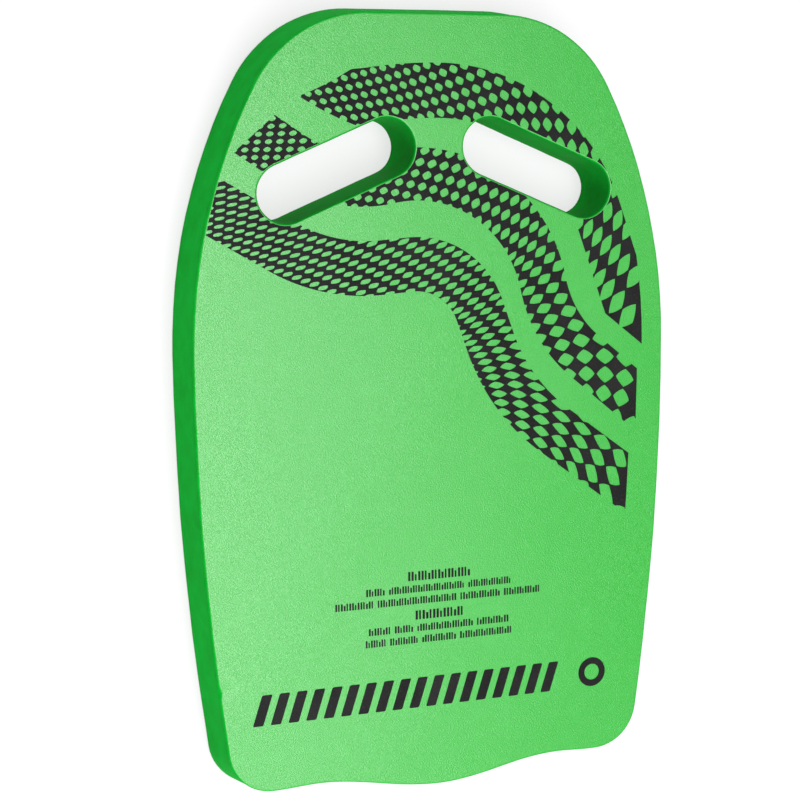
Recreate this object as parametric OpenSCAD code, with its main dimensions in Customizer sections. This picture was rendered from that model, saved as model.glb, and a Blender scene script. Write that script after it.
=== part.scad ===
// Kickboard float: a foam slab with two slanted hand slots, a thin foam
// sheet on each face and printed films on the upper face. It lies on its
// lower sheet with the nose towards +Y. The origin is the middle of the
// underside. Its side wall leans in, so the upper face is the smaller one.
// Distances "from the tail" start at the middle lobe of the lower face.

/* [Board] */
// Width of the lower face at the widest place
board_w = 298; // [290:1:315]
// Length of the lower face from the tail's middle lobe to the nose edge
board_l = 459; // [450:1:475]
// Thickness of the core and both face sheets together
board_t = 35.5; // [30:0.5:45]
// Thickness of each face sheet
sheet_t = 3; // [2:0.5:5]
// How far the upper face lies inside the lower one at each side
side_draft = 2.5; // [0:0.5:6]
// How far the upper face lies inside the lower one at the nose and the tail
end_draft = 4; // [0:0.5:6]
// Distance of the widest place from the tail
widest_y = 264; // [255:1:270]

/* [Outline] */
// Radius of the long sides between the widest place and the tail
tail_side_r = 1650; // [1500:10:2200]
// Radius of the sides between the widest place and the shoulders
nose_side_r = 330; // [325:1:350]
// Radius of the two nose shoulders
shoulder_r = 77; // [70:1:95]
// Radius of the two tail corners
corner_r = 28; // [24:1:32]
// Depth of the tail's middle lobe below the valleys beside it
lobe_depth = 10; // [5:0.5:14]
// Distance of each valley from the middle of the tail
valley_x = 78; // [65:1:82]
// Depth of the corner lobes below the valleys
corner_lobe = 1; // [0:0.5:2]

/* [Hand slots] */
// Distance of each slot's centre from the middle of the pair
slot_x = 62; // [60:0.5:68]
// How far the pair of slots sits to the right of the board's middle line
slot_shift = 1; // [-1:0.5:1]
// Distance of the slots' centres from the tail
slot_y = 367.5; // [360:0.5:375]
// Overall length of a slot
slot_l = 99; // [96:1:106]
// Width of a slot
slot_w = 33.5; // [30:0.5:38]
// Slant of a slot, falling away from the middle line
slot_tilt = 22.5; // [15:0.5:25]

/* [Prints] */
// Thickness of a printed film
film_t = 0.2; // [0.1:0.1:0.5]
// Bare foam left between a film and any rim of the face
rim_gap = 1.5; // [1:0.5:4]
// Width of the outer band
outer_band_w = 31; // [24:1:34]
// Width of the middle band
middle_band_w = 30; // [24:1:34]
// Width of the inner band
inner_band_w = 31; // [24:1:34]
// Bare foam between the right rim and the end of the outer band
outer_band_gap = 14; // [8:1:24]
// Bare foam between the right rim and the end of the middle band
middle_band_gap = 17; // [8:1:24]
// Bare foam between the right rim and the end of the inner band
inner_band_gap = 21; // [8:1:24]
// Distance of the motif's centre from the tail
motif_y = 61.5; // [52:0.5:66]
// Height of the motif's bars
motif_h = 18; // [12:1:20]
// Number of bars in the motif
motif_bars = 18; // [12:1:24]
// Distance of the notice's lowest line from the tail
notice_y = 91.5; // [88:0.5:105]

/* [Hidden] */
$fn = 64;

half_w = board_w / 2;
cut = 1;              // how far a cutter runs past a face
cutter_h = board_t + 2 * cut;
face_z = board_t;     // height of the printed face
draft = [side_draft, end_draft];

// Outline: centres of the arcs that make the right half.
tail_side_c = [half_w - tail_side_r, widest_y];
nose_side_c = [half_w - nose_side_r, widest_y];
corner_cy = lobe_depth - corner_lobe + corner_r;
corner_c = [tail_side_c.x + sqrt(pow(tail_side_r - corner_r, 2) - pow(widest_y - corner_cy, 2)),
            corner_cy];
shoulder_cy = board_l - shoulder_r;
shoulder_c = [nose_side_c.x + sqrt(pow(nose_side_r - shoulder_r, 2) - pow(shoulder_cy - widest_y, 2)),
              shoulder_cy];
corner_end = atan2(corner_c.y - widest_y, corner_c.x - tail_side_c.x);
shoulder_start = atan2(shoulder_c.y - widest_y, shoulder_c.x - nose_side_c.x);

// Points on an arc, without its first one, so that stretches join cleanly.
function arc(c, r, from, to, steps) =
    [for (i = [1:steps]) let (a = from + (to - from) * i / steps) c + r * [cos(a), sin(a)]];

// The tail edge rises from the middle lobe to a valley, then falls to a corner lobe.
function tail_rise(x) =
    x < valley_x
    ? lobe_depth / 2 * (1 - cos(180 * x / valley_x))
    : lobe_depth - corner_lobe / 2 * (1 - cos(180 * (x - valley_x) / (corner_c.x - valley_x)));
tail_steps = 30;
tail_edge = [for (i = [0:tail_steps]) let (x = corner_c.x * i / tail_steps) [x, tail_rise(x)]];

// The right half of the lower outline, from the tail lobe round to the nose.
right_half = concat(
    tail_edge,
    arc(corner_c, corner_r, -90, corner_end, 12),
    arc(tail_side_c, tail_side_r, corner_end, 0, 10),
    arc(nose_side_c, nose_side_r, 0, shoulder_start, 12),
    arc(shoulder_c, shoulder_r, shoulder_start, 90, 16)
);
left_half = [for (i = [len(right_half) - 1:-1:1]) [-right_half[i].x, right_half[i].y]];

// How much the outline shrinks when its box's sides and ends are moved inwards by inset.
function shrink(inset) = [1 - 2 * inset.x / board_w, 1 - 2 * inset.y / board_l];

// The closed outline, with the middle of its box at the origin.
function outline(inset) =
    let (k = shrink(inset))
    [for (p = concat(right_half, left_half)) [p.x * k.x, (p.y - board_l / 2) * k.y]];

// A straight slab of the outline between two heights.
module slab(bottom, top, inset) {
    translate([0, 0, bottom])
        linear_extrude(top - bottom)
            polygon(outline(inset));
}

// The core's slab, whose wall leans in from the lower outline to the upper one.
module leaning_slab(bottom, top) {
    translate([0, 0, bottom])
        linear_extrude(top - bottom, scale = shrink(draft), slices = 1)
            polygon(outline([0, 0]));
}

// Both hand slots as cutters, made wider all round by grow.
module slots(grow = 0) {
    reach = (slot_l - slot_w) / 2;
    r = slot_w / 2 + grow;
    for (side = [-1, 1])
        translate([slot_shift + side * slot_x, slot_y - board_l / 2, -cut])
            rotate([0, 0, -side * slot_tilt]) {
                translate([-reach, -r, 0])
                    cube([2 * reach, 2 * r, cutter_h]);
                for (end = [-1, 1])
                    translate([end * reach, 0, 0])
                        cylinder(r = r, h = cutter_h);
            }
}

// A band's centre line is a walk: a start, a heading in degrees, and
// stretches of [length, turn], where a turn is positive to the left.
step_l = 4;
function walk_point(p, heading, stretch, f) =
    stretch[1] == 0
    ? p + stretch[0] * f * [cos(heading), sin(heading)]
    : let (r = stretch[0] * 180 / (PI * stretch[1]), h = heading + stretch[1] * f)
      p + r * [sin(h) - sin(heading), cos(heading) - cos(h)];
function walk(p, heading, stretches, at = 0) =
    at == len(stretches)
    ? []
    : let (s = stretches[at], n = ceil(s[0] / step_l))
      concat([for (i = [1:n]) [walk_point(p, heading, s, i / n), heading + s[1] * i / n]],
             walk(walk_point(p, heading, s, 1), heading + s[1], stretches, at + 1));

// The strip that lies within half the width of the walk.
function strip(start, heading, stretches, width) =
    let (line = concat([[start, heading]], walk(start, heading, stretches)))
    concat([for (q = line) q[0] + width / 2 * [-sin(q[1]), cos(q[1])]],
           [for (i = [len(line) - 1:-1:0]) line[i][0] - width / 2 * [-sin(line[i][1]), cos(line[i][1])]]);

// A printed band: the strip, kept off the rims of the face and of the slots.
// Its right end follows the right rim, end_gap away from it.
module band(start, heading, stretches, width, end_gap) {
    difference() {
        intersection() {
            translate([0, -board_l / 2, face_z])
                linear_extrude(film_t)
                    polygon(strip(start, heading, stretches, width));
            slab(face_z - cut, face_z + cut, draft + [rim_gap, rim_gap]);
            translate([rim_gap - end_gap, 0, 0])
                slab(face_z - cut, face_z + cut, draft + [rim_gap, rim_gap]);
        }
        translate([0, 0, cut])
            slots(rim_gap);
    }
}

// A printed bar that leans to the right.
module leaning_bar(x, y, width, height, lean) {
    translate([x, y - board_l / 2, face_z])
        linear_extrude(film_t)
            polygon([[0, 0], [width, 0], [width + lean, height], [lean, height]]);
}

module foam_core() {
    color("forestgreen")
        difference() {
            leaning_slab(sheet_t, board_t - sheet_t);
            slots();
        }
}

module upper_face_sheet() {
    color("limegreen")
        difference() {
            slab(board_t - sheet_t, board_t, draft);
            slots();
        }
}

module lower_face_sheet() {
    color("limegreen")
        difference() {
            slab(0, sheet_t, [0, 0]);
            slots();
        }
}

// One plain arc over both slots and down the right side.
module outer_band_print() {
    color("dimgray")
        band([-83, 408.5], -6, [[45, 14], [38, -8], [134, -70], [82, 0]],
             outer_band_w, outer_band_gap);
}

// From above the left slot, under both slots and down to the right.
module middle_band_print() {
    color("dimgray")
        band([-109, 388], -33, [[24, 0], [62, 44], [125, -87], [5, 0], [50, 37], [60, 0]],
             middle_band_w, middle_band_gap);
}

// From the left side in one falling sweep to the right.
module inner_band_print() {
    color("dimgray")
        band([-150, 358], -30, [[64, 0], [62, 34], [18, 0], [55, -74], [19, 0], [70, 34], [74, 0]],
             inner_band_w, inner_band_gap);
}

// Two stanzas of wordless bars: each a tall short line over two low long ones.
module notice_print() {
    line_pitch = 7;
    stanza_gap = 2.4;
    word_gap = 2.2;
    heading_h = 5.4;
    text_h = 4.2;
    lines = [[13, 18, 22, 34], [14, 12, 36, 21], [31], [24, 50, 26, 24], [12, 48, 28], [40]];
    color("dimgray")
        for (row = [0:len(lines) - 1]) {
            words = lines[row];
            row_y = notice_y + row * line_pitch + (row < len(lines) / 2 ? 0 : stanza_gap);
            row_h = len(words) == 1 ? heading_h : text_h;
            row_l = sum_to(words, len(words)) + word_gap * (len(words) - 1);
            for (i = [0:len(words) - 1])
                leaning_bar(sum_to(words, i) + word_gap * i - row_l / 2, row_y, words[i], row_h, 0);
        }
}
function sum_to(list, count) = count == 0 ? 0 : list[count - 1] + sum_to(list, count - 1);

// A row of leaning bars with a plain ring at its right end.
module motif_print() {
    motif_l = 192;
    start_x = -116;
    pitch = motif_l / motif_bars;
    bar_w = pitch * 0.58;
    lean = motif_h * tan(18);
    ring_x = 100;
    ring_r = motif_h / 2;
    ring_bore_r = ring_r * 0.55;
    color("dimgray") {
        for (i = [0:motif_bars - 1])
            leaning_bar(start_x + i * pitch, motif_y - motif_h / 2, bar_w, motif_h, lean);
        translate([ring_x, motif_y - board_l / 2, face_z])
            difference() {
                cylinder(r = ring_r, h = film_t);
                translate([0, 0, -cut])
                    cylinder(r = ring_bore_r, h = film_t + 2 * cut);
            }
    }
}

foam_core();
upper_face_sheet();
lower_face_sheet();
outer_band_print();
middle_band_print();
inner_band_print();
notice_print();
motif_print();
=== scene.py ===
import math

import bmesh
import bpy
import numpy as np
from mathutils import Matrix, Quaternion, Vector
from mathutils.geometry import delaunay_2d_cdt


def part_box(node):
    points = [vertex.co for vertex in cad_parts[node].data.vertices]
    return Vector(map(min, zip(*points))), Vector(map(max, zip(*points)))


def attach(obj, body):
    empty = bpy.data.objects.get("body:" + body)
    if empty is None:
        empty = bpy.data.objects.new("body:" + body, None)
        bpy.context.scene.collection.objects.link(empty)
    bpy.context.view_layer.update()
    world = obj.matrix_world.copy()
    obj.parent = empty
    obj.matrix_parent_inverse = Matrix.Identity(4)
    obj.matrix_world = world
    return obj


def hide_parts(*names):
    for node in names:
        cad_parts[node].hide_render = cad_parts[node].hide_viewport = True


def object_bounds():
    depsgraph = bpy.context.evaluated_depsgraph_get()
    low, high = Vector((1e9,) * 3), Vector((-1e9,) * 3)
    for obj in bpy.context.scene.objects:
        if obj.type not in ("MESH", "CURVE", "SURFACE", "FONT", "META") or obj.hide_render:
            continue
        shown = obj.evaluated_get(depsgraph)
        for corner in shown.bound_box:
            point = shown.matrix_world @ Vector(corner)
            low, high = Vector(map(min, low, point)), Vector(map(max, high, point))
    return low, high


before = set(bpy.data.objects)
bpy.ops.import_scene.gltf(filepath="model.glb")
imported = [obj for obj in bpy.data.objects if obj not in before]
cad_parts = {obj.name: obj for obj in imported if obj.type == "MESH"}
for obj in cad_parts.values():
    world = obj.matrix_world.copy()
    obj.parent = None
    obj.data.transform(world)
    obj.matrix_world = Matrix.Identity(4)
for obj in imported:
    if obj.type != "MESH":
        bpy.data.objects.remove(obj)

# A foam kickboard that lies on its back face, seen from above: three foam
# layers and five printed films, all built on the CAD's own outlines.
# Outlines, foam and prints are worked out in mm; materials, camera, floor and lights
# are in metres.

MM = 0.001
cad_lo, cad_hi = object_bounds()
upper_lo, upper_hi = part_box("upper_face_sheet")
lower_lo, lower_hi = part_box("lower_face_sheet")
FACE_Z = upper_hi.z / MM
FILM_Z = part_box("motif_print")[1].z / MM
TAIL_Y = cad_lo.y / MM


# ---------------------------------------------------------------- outlines

FLAT = 0.01         # how far off a flat face's height its corners may be
OUTER_STEP = 2.0    # the longest edge of the board's outline
SLOT_STEP = 1.5     # the longest edge of a hand slot's outline


def cap_loops(name, z):
    """The closed outlines of a CAD node's flat face at height z (mm), longest first."""
    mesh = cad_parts[name].data
    spot = [(round(v.co.x / MM, 3), round(v.co.y / MM, 3)) for v in mesh.vertices]
    flat = [abs(v.co.z / MM - z) < FLAT for v in mesh.vertices]
    edges = set()
    for poly in mesh.polygons:
        ids = list(poly.vertices)
        if all(flat[i] for i in ids):
            for a, b in zip(ids, ids[1:] + ids[:1]):
                a, b = spot[a], spot[b]
                if a == b:
                    continue
                if (b, a) in edges:
                    edges.remove((b, a))
                else:
                    edges.add((a, b))
    after = dict(edges)
    loops = []
    while after:
        start, at = after.popitem()
        loop = [start]
        while at != start:
            loop.append(at)
            at = after.pop(at)
        loops.append(np.array(loop))
    return sorted(loops, key=lambda q: -length(q))


def length(loop):
    return np.hypot(*(np.roll(loop, -1, 0) - loop).T).sum()


def area(loop):
    """The area inside a loop, which is negative if the loop runs clockwise."""
    x, y = loop.T
    return (x * np.roll(y, -1) - np.roll(x, -1) * y).sum() / 2


def turned(loop, sense):
    """The loop run anticlockwise (sense 1) or clockwise (sense -1)."""
    return loop if area(loop) * sense > 0 else loop[::-1]


def refine(loop, step):
    """The loop with its long edges split, so that no edge is longer than step."""
    out = []
    for a, b in zip(loop, np.roll(loop, -1, 0)):
        n = max(1, math.ceil(np.hypot(*(b - a)) / step))
        out += [a + (b - a) * i / n for i in range(n)]
    return np.array(out)


def into(loop, depth):
    """The loop moved to its left: into the foam, from the outline and from a slot alike."""
    t = np.roll(loop, -1, 0) - np.roll(loop, 1, 0)
    t /= np.hypot(*t.T)[:, None]
    return loop + np.stack([-t[:, 1], t[:, 0]], 1) * np.reshape(depth, (-1, 1))


def waver(loop):
    """A slight unevenness of a cut foam wall, in mm, the same in every layer."""
    f = np.arange(len(loop)) / len(loop) * 2 * math.pi
    return 0.08 * np.sin(7 * f + 1) + 0.06 * np.sin(17 * f + 4) + 0.03 * np.sin(41 * f)


base_loops = cap_loops("lower_face_sheet", lower_lo.z / MM)
outline = refine(turned(base_loops[0], 1), OUTER_STEP)
slot_loops = [refine(turned(q, -1), SLOT_STEP) for q in base_loops[1:]]
shrink = np.array([(upper_hi.x - upper_lo.x) / (cad_hi.x - cad_lo.x),
                   (upper_hi.y - upper_lo.y) / (cad_hi.y - cad_lo.y)])
face_outline = outline * shrink


def swell(x, y):
    """The height of the face's gentle unevenness, in mm."""
    return (0.10 * np.sin(x / 31 + 1.3) * np.sin(y / 43 + 0.4)
            + 0.05 * np.sin(x / 17 - y / 23 + 2.0))


# ------------------------------------------------------------- foam pieces

SHARP = math.radians(40)    # edges that turn by more than this are shaded sharp
SEAM = 0.25                 # how deep and how wide each side of a seam is
RIM = 1.3                   # radius of the printed face's rim
LOW_RIM = 0.6               # radius of the back face's rim
LAND = 0.4                  # width of the flat strip between a rim and its face's fill
GRAINED_RIM = 0.12          # the share of the upper rim's height that has the face's grain
SLOT_TAPER = 1.0            # how much a slot narrows a side from the printed face to the back
SLOT_WAVER = 0.5            # a slot's wall is this much as uneven as the outer wall
RIM_STEPS = 7
LOW_RIM_STEPS = 6
CORE_STEPS = 8              # steps of the core's wall
FACE_GRID = 7.0             # spacing of the points that carry the printed face's unevenness
GRID_CLEAR = 0.6            # these points keep this share of the spacing off the rims
MERGE = 1e-4                # points of a face this close become one
WHOLE_HULL = 0              # the triangulation's mode: triangles over the points' whole hull
WALL, SLOT, FACE = range(3)


def finish_mesh(bm, name):
    """Turns a finished bmesh into an object of the scene."""
    bmesh.ops.recalc_face_normals(bm, faces=bm.faces[:])
    mesh = bpy.data.meshes.new(name)
    bm.to_mesh(mesh)
    bm.free()
    mesh.shade_smooth()
    mesh.set_sharp_from_angle(angle=SHARP)
    obj = bpy.data.objects.new(name, mesh)
    bpy.context.scene.collection.objects.link(obj)
    return obj


def ring_at(bm, loop, z):
    return [bm.verts.new((x * MM, y * MM, z * MM)) for x, y in loop]


def bridge(bm, low, high):
    return [bm.faces.new((low[i - 1], low[i], high[i], high[i - 1])) for i in range(len(low))]


def fill(points, loops, near):
    """Triangles between the points that keep to the loops' edges: the corners' places, the
    triangles, each corner's own points and each triangle's loops."""
    spots = [Vector(p) for p in points]
    co, _, tris, from_v, _, owners = delaunay_2d_cdt(spots, [], loops, WHOLE_HULL, near, True)
    return co, tris, from_v, owners


def cap(bm, rings, height, grid=0.0):
    """Fills between the outer ring and the slots' rings, with a grid of points if asked."""
    flat = [v for ring in rings for v in ring]
    edge = np.array([(v.co.x / MM, v.co.y / MM) for v in flat])
    points = list(edge)
    loops, at = [], 0
    for k, ring in enumerate(rings):
        ids = list(range(at, at + len(ring)))
        loops.append(ids[::-1] if k else ids)
        at += len(ring)
    if grid:
        lo, hi = edge.min(0), edge.max(0)
        gx, gy = np.meshgrid(np.arange(lo[0], hi[0], grid), np.arange(lo[1], hi[1], grid))
        gx = gx + (np.arange(gx.shape[0]) % 2 * grid / 2)[:, None]
        mesh_points = np.stack([gx.ravel(), gy.ravel()], 1)
        gap = np.min([np.hypot(*(mesh_points - e).T) for e in edge], 0)
        points += list(mesh_points[gap > grid * GRID_CLEAR])
    co, tris, from_v, owners = fill(points, loops, MERGE)
    verts = {}
    faces = []
    for tri, own in zip(tris, owners):
        if set(own) != {0}:
            continue
        for i in tri:
            if i not in verts:
                rim = [k for k in from_v[i] if k < len(flat)]
                verts[i] = flat[rim[0]] if rim else bm.verts.new(
                    (co[i].x * MM, co[i].y * MM, height * MM))
        faces.append(bm.faces.new([verts[i] for i in tri]))
    return faces


def quarter(radius, steps, rising):
    """(height, depth into the foam) along a rounded rim, from its lower end."""
    turn = [math.pi / 2 * i / steps for i in range(steps + 1)]
    if rising:
        return [(radius * math.sin(a), radius * (1 - math.cos(a))) for a in turn]
    return [(radius * (1 - math.cos(a)), radius * (1 - math.sin(a))) for a in turn]


def layer(steps, grid=0.0):
    """A closed foam layer, with its walls, top and base. steps are (height, depth into the
    foam, lean from the back's outline, 0, to the printed face's, 1)."""
    bm = bmesh.new()
    sides, tops, bottoms = [], [], []
    for k, loop in enumerate([outline, *slot_loops]):
        uneven = waver(loop) * (SLOT_WAVER if k else 1)
        rings = []
        for z, depth, lean in steps:
            scale = 1 if k else 1 + (shrink - 1) * lean
            taper = SLOT_TAPER * (1 - z / FACE_Z) if k else 0
            rings.append(ring_at(bm, into(loop * scale, depth + uneven - taper), z))
        for low, high in zip(rings, rings[1:]):
            walls = bridge(bm, low, high)
            for f in walls:
                f.material_index = SLOT if k else WALL
            sides += walls
        bottoms.append(rings[0])
        tops.append(rings[-1])
    top = cap(bm, tops, steps[-1][0], grid)
    base = cap(bm, bottoms, steps[0][0])
    return bm, sides, top, base


seam_low, seam_high = lower_hi.z / MM, upper_lo.z / MM

# The lower sheet: a grained face and a rounded rim below, a fine seam above.
steps = [(0, LOW_RIM + LAND, 0)] + [(z, d, 0) for z, d in quarter(LOW_RIM, LOW_RIM_STEPS, False)]
steps += [(seam_low - SEAM, 0, 0), (seam_low, SEAM, 0)]
bm, _, _, back_face = layer(steps)
for f in back_face:
    f.material_index = FACE
lower_sheet = finish_mesh(bm, "lower_sheet_foam")

# The core, whose wall leans in between the two sheets.
steps = [(seam_low, SEAM, 0)]
for i in range(CORE_STEPS + 1):
    z = seam_low + SEAM + (seam_high - seam_low - 2 * SEAM) * i / CORE_STEPS
    steps.append((z, 0, (z - seam_low) / (seam_high - seam_low)))
steps.append((seam_high, SEAM, 1))
core = finish_mesh(layer(steps)[0], "core_foam")

# The upper sheet: a fine seam below, a grained face that starts on the rounded rim.
steps = [(seam_high, SEAM, 1), (seam_high + SEAM, 0, 1)]
steps += [(FACE_Z - RIM + z, d, 1) for z, d in quarter(RIM, RIM_STEPS, True)]
steps.append((FACE_Z, RIM + LAND, 1))
bm, sides, face, _ = layer(steps, FACE_GRID)
for f in face:
    f.material_index = FACE
for f in sides:
    if all(v.co.z / MM > FACE_Z - RIM * GRAINED_RIM for v in f.verts):
        f.material_index = FACE

# A small dent in the left rim, where the foam was knocked: its place, how far it reaches
# round that, and how it moves the foam.
nick = Vector((upper_lo.x + 12 * MM, cad_lo.y + 74.6 * MM, upper_hi.z))
nick_reach = 2.4 * MM
nick_push = Vector((1.2, 0, -0.8)) * MM
for v in bm.verts:
    v.co += nick_push * math.exp(-((v.co - nick).length / nick_reach) ** 2)

# The printed face is gently uneven, which fades out down the sheet's wall.
for v in bm.verts:
    fade = (v.co.z / MM - seam_high - SEAM) / (FACE_Z - seam_high - SEAM)
    v.co.z += min(1, max(0, fade)) * swell(v.co.x / MM, v.co.y / MM) * MM
upper_sheet = finish_mesh(bm, "upper_sheet_foam")


# ------------------------------------------------------------------ prints

INK_GAP = 1.2       # how far the ink keeps off the rims of the face and of the slots
INK_SINK = 0.02     # how deep a film's lower side lies in the face
INK_MERGE = 2e-3    # points of a film this close become one
CRUMB = 1.0         # the smallest island of ink, in square mm
END_EDGE = 2.0      # width of the inked edge at a band's right end
ink_area = into(face_outline, INK_GAP)
slot_cuts = [into(q, INK_GAP) for q in slot_loops]
right_rim = face_outline[face_outline[:, 0] > cad_hi.x / MM / 2]
right_rim = right_rim[right_rim[:, 1].argsort()]


def drop_crumbs(bm):
    """Deletes the islands of ink that are smaller than CRUMB."""
    left, crumbs = set(bm.faces), []
    while left:
        island = []
        edge = [left.pop()]
        while edge:
            face = edge.pop()
            island.append(face)
            near = {f for e in face.edges for f in e.link_faces} & left
            left -= near
            edge += near
        if sum(f.calc_area() for f in island) < CRUMB * MM * MM:
            crumbs += island
    bmesh.ops.delete(bm, geom=crumbs, context="FACES")


def film(name, shapes, holes=(), cuts=(), limits=(ink_area, ink_area)):
    """A thin closed film over the shapes: all inside the first limit and clear of the cuts
    and slots, and pierced by the holes inside the second limit."""
    points, loops, groups = [], [], []
    for group in (shapes, [ink_area, limits[0]], [limits[1]], [*slot_cuts, *cuts], holes):
        groups.append(set(range(len(loops), len(loops) + len(group))))
        for poly in group:
            loops.append(list(range(len(points), len(points) + len(poly))))
            points += list(turned(poly, 1))
    inked, bounds, pierced, cut, hole = groups
    co, tris, _, owners = fill(points, loops, INK_MERGE)
    bm = bmesh.new()
    verts = {}
    for tri, own in zip(tris, map(set, owners)):
        if not own & inked or not bounds <= own or own & cut:
            continue
        if own & hole and own & pierced:
            continue
        for i in tri:
            if i not in verts:
                x, y = co[i]
                z = FACE_Z + swell(x, y) - INK_SINK
                verts[i] = bm.verts.new((x * MM, y * MM, z * MM))
        bm.faces.new([verts[i] for i in tri])
    drop_crumbs(bm)
    made = bmesh.ops.extrude_face_region(bm, geom=bm.faces[:], use_keep_orig=True)
    for v in made["geom"]:
        if isinstance(v, bmesh.types.BMVert):
            v.co.z += (FILM_Z - FACE_Z) * MM
    return finish_mesh(bm, name)


def round_corners(poly, radius, steps=4):
    """The polygon with its corners eased over the radius, each in a few steps."""
    out = []
    for a, b, c in zip(np.roll(poly, 1, 0), poly, np.roll(poly, -1, 0)):
        u, v = (a - b) / np.hypot(*(a - b)), (c - b) / np.hypot(*(c - b))
        for i in range(steps + 1):
            f = i / steps
            out.append(b + radius * ((1 - f) ** 2 * u + f ** 2 * v))
    return np.array(out)


class Band:
    """A printed ribbon: its centre line and the lattice of light cells that is cut from it.

    The line starts at a place, measured from the board's middle and tail, with a heading,
    and runs in stretches of a length that turn by an angle. end_gap is the gap between the
    ribbon's right end and the rim. point is the length of a pointed start, and slants are
    how far the two ends lean, in half widths."""

    RUN = 25        # the line runs on past both ends by this many steps of 1 mm
    PAST = 8        # cells are cut this far past both ends
    BESIDE = 4      # and where their middles lie this far past the ribbon's sides
    SCAN = 20       # how far to the side the lattice's cells are listed
    SEED = 4.0      # spacing of the places where a search can start, and its longest step
    SEED_REACH = 28
    REACH = 34      # no search goes further to the side than this
    ROUNDS = 12     # rounds of a search
    NUDGE = 0.5     # the step that measures the lattice's slope along the ribbon
    STRIP_STEP = 2  # spacing of the points of the ribbon's outline
    TIP = 0.01      # what is left of the width at a pointed start
    LEAN = 8        # the higher, the closer to its end a slant stays

    def __init__(self, start, heading, stretches, width, end_gap,
                 along, across, point=0, slants=(0, 0)):
        line, angle = [np.array(start, float)], [heading]
        for stretch, turn in stretches:
            n = round(stretch)
            for i in range(n):
                a = math.radians(angle[-1] + turn / n / 2)
                line.append(line[-1] + stretch / n * np.array([math.cos(a), math.sin(a)]))
                angle.append(angle[-1] + turn / n)
        ends = [np.array([math.cos(math.radians(a)), math.sin(math.radians(a))])
                for a in (angle[0], angle[-1])]
        line = ([line[0] - ends[0] * i for i in range(self.RUN, 0, -1)] + line
                + [line[-1] + ends[1] * i for i in range(1, self.RUN + 1)])
        angle = [angle[0]] * self.RUN + angle + [angle[-1]] * self.RUN
        self.p = np.array(line) + [0, TAIL_Y]
        step = np.hypot(*np.diff(self.p, axis=0).T)
        self.s = np.concatenate([[0], np.cumsum(step)]) - step[:self.RUN].sum()
        self.length = self.s[-1] - step[-self.RUN:].sum()
        self.width, self.end_gap = width, end_gap
        self.point, self.slants = point, slants
        angle = np.radians(angle)
        t = np.stack([np.cos(angle), np.sin(angle)], 1)
        self.n = np.stack([-t[:, 1], t[:, 0]], 1)

        def side(size0, size1, growth, *turns):
            """A cell's side, from one end of the ribbon to the other: it grows and turns."""
            size = size0 + (size1 - size0) * np.clip(self.s / self.length, 0, 2) ** growth
            a = np.radians(np.interp(self.s, *zip(*turns)))
            return size * np.cos(a), size * np.sin(a)

        (ax, ay), (bx, by) = side(*along), side(*across)
        det = ax * by - ay * bx
        self.rates = []
        for gx, gy in ((by / det, -bx / det), (-ay / det, ax / det)):
            slope = gx * t[:, 0] + gy * t[:, 1]
            total = np.concatenate([[0], np.cumsum((slope[1:] + slope[:-1]) / 2 * step)])
            self.rates.append((total, gx * self.n[:, 0] + gy * self.n[:, 1]))

    def at(self, s, values):
        return np.interp(s, self.s, values)

    def cell(self, s, t):
        """Lattice coordinates of a place s along and t to the left of the centre line."""
        return [self.at(s, a) + t * self.at(s, b) for a, b in self.rates]

    def find(self, i, j):
        """The place (s, t) of lattice coordinates, by Newton's method."""
        gs, gt = np.meshgrid(np.arange(self.s[0], self.s[-1], self.SEED),
                             np.arange(-self.SEED_REACH, self.SEED_REACH + 1, self.SEED))
        gs, gt = gs.ravel(), gt.ravel()
        gi, gj = self.cell(gs, gt)
        best = [np.argmin((gi - a) ** 2 + (gj - b) ** 2) for a, b in zip(i, j)]
        s, t = gs[best], gt[best]
        for _ in range(self.ROUNDS):
            i0, j0 = self.cell(s, t)
            i1, j1 = self.cell(s + self.NUDGE, t)
            a, c = (i1 - i0) / self.NUDGE, (j1 - j0) / self.NUDGE
            b, d = self.at(s, self.rates[0][1]), self.at(s, self.rates[1][1])
            det = a * d - b * c
            s = s + np.clip((d * (i - i0) - b * (j - j0)) / det, -self.SEED, self.SEED)
            t = t + np.clip((a * (j - j0) - c * (i - i0)) / det, -self.SEED, self.SEED)
            s = np.clip(s, self.s[0], self.s[-1])
            t = np.clip(t, -self.REACH, self.REACH)
        return s, t

    def place(self, s, t):
        x = self.at(s, self.p[:, 0]) + t * self.at(s, self.n[:, 0])
        y = self.at(s, self.p[:, 1]) + t * self.at(s, self.n[:, 1])
        return np.stack([x, y], -1)

    def holes(self, steps=5):
        """The light cells, nearly round where small and four-cornered where large: the whole
        ones, and those that open through the ribbon's side."""
        half = self.width / 2 + self.BESIDE
        gs, gt = np.meshgrid(np.arange(-self.PAST, self.length + self.PAST),
                             np.arange(-self.SCAN, self.SCAN + 1))
        gi, gj = self.cell(gs.ravel(), gt.ravel())
        seen = {(int(a), int(b)) for a, b in zip(np.floor(gi), np.floor(gj)) if (a + b) % 2 == 0}
        seen = np.array(sorted(seen))
        s, t = self.find(seen[:, 0] + 0.5, seen[:, 1] + 0.5)
        keep = (s > -self.PAST) & (s < self.length + self.PAST) & (abs(t) < half)
        x, y = self.place(s, t).T
        keep &= x < np.interp(y, right_rim[:, 1], right_rim[:, 0]) - self.end_gap - END_EDGE
        f = np.clip(s[keep] / self.length, 0, 1)[:, None]
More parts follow.
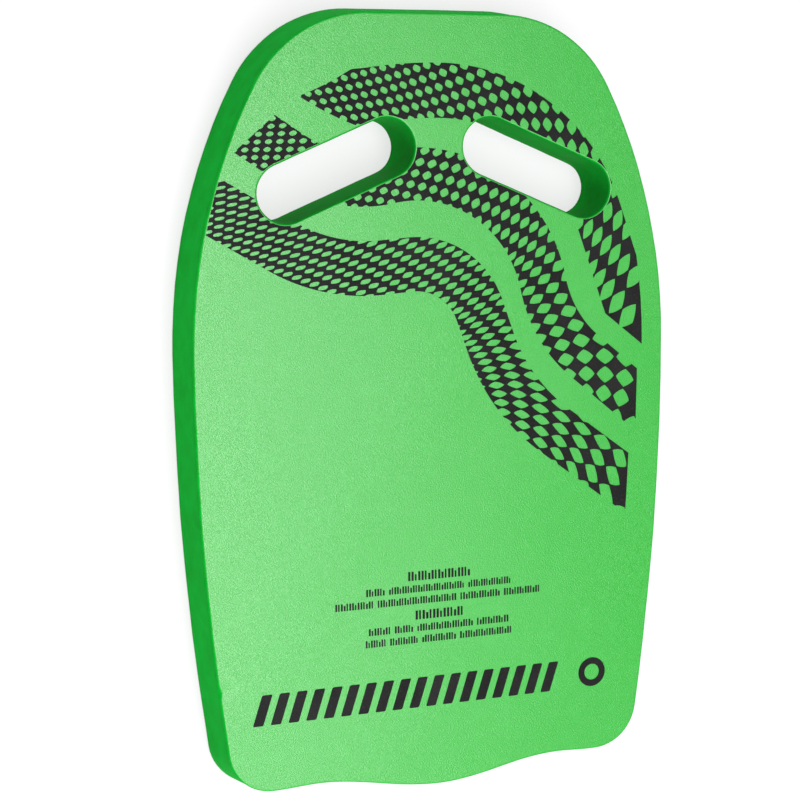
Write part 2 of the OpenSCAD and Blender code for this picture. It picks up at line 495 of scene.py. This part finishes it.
        # Half a cell's size at its corners, and how far its sides bulge: 0.5 would touch.
        corner, bulge = 0.335 + 0.125 * f, 0.105 - 0.05 * f
        v = np.linspace(-1, 1, steps + 1)[None, :-1]
        u = corner + bulge * (1 - v ** 2)
        v = v * corner
        shape = np.concatenate([np.stack([dx * u - dy * v, dy * u + dx * v], -1)
                                for dx, dy in ((1, 0), (0, 1), (-1, 0), (0, -1))], 1)
        corners = (seen[keep] + 0.5)[:, None, :] + shape
        s, t = self.find(*corners.reshape(-1, 2).T)
        cells = self.place(s, t).reshape(len(corners), -1, 2)
        open_ones = abs(t).reshape(len(corners), -1).max(1) > self.width / 2
        return list(cells[~open_ones]), list(cells[open_ones])

    def strip(self):
        """The ribbon's outline, which may start at a point and have slanted ends."""
        s = np.linspace(0, self.length, round(self.length / self.STRIP_STEP))
        h = np.full(len(s), self.width / 2)
        if self.point:
            h *= np.clip(s / self.point, self.TIP, 1)
        f = s / self.length
        late = ((1 - f) ** self.LEAN * self.slants[0] + f ** self.LEAN * self.slants[1]) * h
        return np.concatenate([self.place(s + late, h), self.place(s - late, -h)[::-1]])

    def film(self, name):
        """The print itself. Its right end follows the board's rim, with an inked edge there."""
        limits = [face_outline - [self.end_gap + edge, 0] for edge in (0, END_EDGE / 2)]
        return film(name, [self.strip()], *self.holes(), limits)


# along and across are a cell's two sides: length at both ends, how late it grows, and
# its direction in degrees at places along the ribbon.
outer = Band((-83, 408.5), -6, ((45, 14), (38, -8), (134, -70), (82, 0)), 31, 14,
             along=(4.9, 13.5, 2.2, (110, -25), (240, -101)),
             across=(3.3, 11.2, 1.7, (20, 60), (65, 73), (120, 70), (300, 10)),
             point=32, slants=(0, 1.6))
middle = Band((-109, 388), -33, ((24, 0), (62, 44), (125, -87), (5, 0), (50, 37), (60, 0)), 30, 17,
              along=(4.2, 10, 1.2, (0, 31), (110, 26), (187, 26), (317, -70)),
              across=(3.5, 9.3, 1.7, (5, 145), (110, 118), (317, 20)), slants=(0.3, 0))
inner = Band((-150, 358), -30, ((64, 0), (62, 34), (18, 0), (55, -74), (19, 0), (70, 34), (74, 0)),
             31, 21, along=(6.6, 14, 4.5, (200, 8), (330, -76)),
             across=(1.9, 8.1, 1.2, (15, 90), (60, 68), (188, 60), (305, -8)))

# The ticks' pitch, eased corners and cut, for the short ones, as shares of their row's
# height, and their widths as shares of the pitch.
TICK_PITCH = 0.4
TICK_EASE = 0.05
TICK_CUT = 0.28
TICK_WIDTHS = 0.48, 0.62


def notice():
    """A row of small upright ticks for every bar of the CAD, with no lettering."""
    ticks = []
    for loop in cap_loops("notice_print", FILM_Z):
        lo, hi = loop.min(0), loop.max(0)
        wide, tall = hi - lo
        n = max(1, round(wide / (tall * TICK_PITCH)))
        for i in range(n):
            x0 = lo[0] + i * wide / n
            x1 = x0 + wide / n * TICK_WIDTHS[(i * 7 + n) % 3 > 0]
            top = hi[1] - (TICK_CUT * tall if (i * 5 + n) % 4 == 1 else 0)
            box = [(x0, lo[1]), (x1, lo[1]), (x1, top), (x0, top)]
            ticks.append(round_corners(np.array(box), TICK_EASE * tall, 2))
    return film("notice_ink", ticks)


BAR_EASE = 0.9
RING_SIDES = 64


def motif():
    """Leaning bars with eased corners, and a plain ring made of short pieces."""
    loops = cap_loops("motif_print", FILM_Z)
    pieces = [round_corners(q, BAR_EASE) for q in loops if len(q) == 4]
    turn = np.linspace(0, 2 * math.pi, RING_SIDES, endpoint=False)
    circle = np.stack([np.cos(turn), np.sin(turn)], 1)
    rim, hole = [(q.min(0) + q.max(0)) / 2 + np.ptp(q[:, 0]) / 2 * circle
                 for q in loops if len(q) > 4]
    corners = rim, np.roll(rim, -1, 0), np.roll(hole, -1, 0), hole
    pieces += [np.array(piece) for piece in zip(*corners)]
    return film("motif_ink", pieces)


prints = {"outer_band": outer.film("outer_band_ink"),
          "middle_band": middle.film("middle_band_ink"),
          "inner_band": inner.film("inner_band_ink"),
          "notice": notice(),
          "motif": motif()}


# --------------------------------------------------------------- materials

class Finish:
    """A node material, written as one call per node."""

    def __init__(self, name):
        self.mat = bpy.data.materials.new(name)
        self.mat.use_nodes = True
        self.tree = self.mat.node_tree
        self.tree.nodes.clear()
        self.place = self.node("ShaderNodeTexCoord").outputs["Object"]

    def node(self, kind, values=None, **props):
        made = self.tree.nodes.new(kind)
        for key, value in props.items():
            setattr(made, key, value)
        for key, value in (values or {}).items():
            socket = made.inputs[key]
            if isinstance(value, bpy.types.NodeSocket):
                self.tree.links.new(value, socket)
            else:
                socket.default_value = value
        return made

    def noise(self, scale, detail, rough):
        return self.node("ShaderNodeTexNoise", {
            "Vector": self.place, "Scale": scale,
            "Detail": detail, "Roughness": rough}).outputs["Fac"]

    def stretch(self, value, low, high, to_low=0.0, to_high=1.0):
        return self.node("ShaderNodeMapRange", {
            "Value": value, "From Min": low, "From Max": high,
            "To Min": to_low, "To Max": to_high}).outputs["Result"]

    def mix(self, a, b, fac):
        """Colour a, turning to b as fac rises to 1. Inputs 0, 6 and 7 are the node's factor
        and colours, and output 2 its colour."""
        made = self.node("ShaderNodeMix", data_type="RGBA")
        for index, value in ((0, fac), (6, a), (7, b)):
            if isinstance(value, bpy.types.NodeSocket):
                self.tree.links.new(value, made.inputs[index])
            else:
                made.inputs[index].default_value = value
        return made.outputs[2]

    def bump(self, height, strength, distance, normal=None):
        values = {"Height": height, "Strength": strength, "Distance": distance}
        if normal is not None:
            values["Normal"] = normal
        return self.node("ShaderNodeBump", values).outputs["Normal"]

    def shade(self, **values):
        shader = self.node("ShaderNodeBsdfPrincipled", values)
        self.node("ShaderNodeOutputMaterial", {"Surface": shader.outputs[0]})
        return self.mat


def colour(r, g, b):
    return (r, g, b, 1.0)


def grained_face():
    """Embossed EVA: the grain shows mostly as fine glints in a soft sheen."""
    m = Finish("grained_eva_face")
    pebble = m.noise(1100, 2.0, 0.65)
    glint = m.noise(1500, 1.0, 0.6)
    cloud = m.noise(16, 3.0, 0.5)
    patch = m.noise(110, 2.0, 0.5)
    base = m.mix(colour(0.0, 0.345, 0.006), colour(0.050, 0.450, 0.062),
                 m.stretch(glint, 0.4, 0.6))
    base = m.mix(base, colour(0.006, 0.40, 0.018), m.stretch(cloud, 0.42, 0.72, 0, 0.3))
    base = m.mix(base, colour(0.04, 0.50, 0.06), m.stretch(patch, 0.52, 0.8, 0, 0.25))
    rough = m.stretch(glint, 0.35, 0.65, 0.38, 0.24)
    normal = m.bump(pebble, 0.6, 0.00025)
    normal = m.bump(glint, 0.5, 0.0002, normal)
    return m.shade(**{"Base Color": base, "Roughness": rough, "Normal": normal,
                      "Specular IOR Level": 0.85, "IOR": 1.48})


def foam_wall(name, deep, light, edge):
    """Cut and moulded foam: smooth, mottled, with very fine closed pores, and darker along
    its foot, where it meets the floor: painted contact shade."""
    m = Finish(name)
    mottle = m.noise(95, 3.0, 0.55)
    cloud = m.noise(22, 2.0, 0.5)
    pores = m.node("ShaderNodeTexVoronoi", {"Vector": m.place, "Scale": 1700.0},
                   feature="F1").outputs["Distance"]
    base = m.mix(colour(*deep), colour(*light), m.stretch(mottle, 0.3, 0.72))
    base = m.mix(base, colour(*light), m.stretch(cloud, 0.45, 0.75, 0, 0.5))
    height = m.node("ShaderNodeSeparateXYZ", {"Vector": m.place}).outputs["Z"]
    # Darker and browner over the bottom 2 mm of the wall, where it meets the floor: painted contact
    # shade.
    base = m.mix(base, colour(*edge), m.stretch(height, 0.0022, 0.0002, 0, 0.55))
    rough = m.stretch(mottle, 0.3, 0.7, 0.58, 0.7)
    normal = m.bump(pores, 0.12, 0.00012)
    normal = m.bump(mottle, 0.2, 0.0003, normal)
    return m.shade(**{"Base Color": base, "Roughness": rough, "Normal": normal,
                      "Specular IOR Level": 0.02, "IOR": 1.4})


def ink():
    """Matte screen ink, thin enough to show the face's grain, with fine lighter specks that are
    painted glints on the grain.
    """
    m = Finish("matte_ink")
    pebble = m.noise(1100, 2.0, 0.65)
    ink_painted_glint = m.noise(1300, 1.0, 0.4)
    cloud = m.noise(40, 2.0, 0.5)
    base = m.mix(colour(0.008, 0.008, 0.008), colour(0.015, 0.015, 0.015),
                 m.stretch(cloud, 0.35, 0.7))
    # Fine lighter specks in the ink's colour: painted glints on the grain.
    base = m.mix(base, colour(0.028, 0.034, 0.028), m.stretch(ink_painted_glint, 0.58, 0.78, 0, 0.6))
    normal = m.bump(pebble, 0.5, 0.0002)
    return m.shade(**{"Base Color": base, "Roughness": m.stretch(pebble, 0.3, 0.7, 0.62, 0.48),
                      "Normal": normal, "Specular IOR Level": 0.10})


face_finish = grained_face()
# The last colour of each wall finish is the painted contact shade along its foot.
wall_finish = foam_wall("core_foam_wall", (0.001, 0.36, 0.021), (0.005, 0.46, 0.037),
                        (0.04, 0.16, 0.02))
sheet_finish = foam_wall("sheet_foam_wall", (0.001, 0.37, 0.021), (0.004, 0.47, 0.035),
                         (0.04, 0.16, 0.02))
# The slot walls get a darker copy of the same foam: painted shade for the deep slots, where little
# light reaches.
slot_shade_finish = foam_wall("slot_wall_painted_shade", (0.001, 0.25, 0.014), (0.003, 0.33, 0.024),
                        (0.02, 0.14, 0.02))
ink_finish = ink()

for piece in (core, lower_sheet, upper_sheet):
    piece.data.materials.append(wall_finish if piece is core else sheet_finish)
    piece.data.materials.append(slot_shade_finish)
for piece in (lower_sheet, upper_sheet):
    piece.data.materials.append(face_finish)

for piece, node, slot in ((core, "foam_core", "foam_wall"),
                          (upper_sheet, "upper_face_sheet", "grained_face"),
                          (lower_sheet, "lower_face_sheet", "grained_face")):
    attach(piece, "root")
    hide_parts(node)
for key, piece in prints.items():
    piece.data.materials.append(ink_finish)
    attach(piece, "root")
    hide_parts(key + "_print")


# ------------------------------------------------------------------- stage

# The camera looks down on the board from beyond its left edge.
scene = bpy.context.scene
aim = Vector((-0.0244, 0.0064, cad_hi.z))
eye = Vector((-0.4195, 0.1506, 1.0444))
roll = math.radians(-0.44)
back = (eye - aim).normalized()
right = Quaternion(back, roll) @ Vector((0, 1, 0)).cross(back).normalized()
cam_data = bpy.data.cameras.new("view")
cam_data.sensor_width = 36
cam_data.lens = 85.5
cam = bpy.data.objects.new("view", cam_data)
cam.matrix_world = Matrix.Translation(eye) @ Matrix(
    (right, back.cross(right), back)).transposed().to_4x4()
scene.collection.objects.link(cam)
scene.camera = cam

FLOOR = 4.0         # half the floor's width
FLOOR_GAP = 0.0002
floor_mesh = bpy.data.meshes.new("floor")
floor_mesh.from_pydata([(x * FLOOR, y * FLOOR, 0) for x, y in ((-1, -1), (1, -1), (1, 1), (-1, 1))],
                       [], [(0, 1, 2, 3)])
floor = bpy.data.objects.new("floor", floor_mesh)
floor.location.z = cad_lo.z - FLOOR_GAP
scene.collection.objects.link(floor)
floor_mesh.materials.append(Finish("pale_floor").shade(**{
    "Base Color": colour(0.37, 0.35, 0.37), "Roughness": 0.9, "Specular IOR Level": 0.0,
    "Emission Color": colour(1, 0.99, 1), "Emission Strength": 0.615}))


def softbox(name, place, size, watts, tilt=(0, 0)):
    """A rectangular soft light that faces the floor, tilted about X and Y in degrees."""
    data = bpy.data.lights.new(name, "AREA")
    data.shape = "RECTANGLE"
    data.size, data.size_y = size
    data.energy = watts
    lamp = bpy.data.objects.new(name, data)
    lamp.location = place
    lamp.rotation_euler = [math.radians(a) for a in tilt] + [0]
    scene.collection.objects.link(lamp)


softbox("key", (0.05, -0.28, 1.5), (0.8, 1.7), 23)
softbox("fill", (-0.4, -1.1, 0.8), (1.2, 0.6), 6, (58, 0))

world = bpy.data.worlds.new("studio")
world.use_nodes = True
background = world.node_tree.nodes["Background"]
background.inputs["Color"].default_value = colour(1, 1, 1)
background.inputs["Strength"].default_value = 0.44
scene.world = world
scene.view_settings.view_transform = "Standard"
scene.view_settings.look = "None"
scene.view_settings.exposure = 0
scene.view_settings.gamma = 1
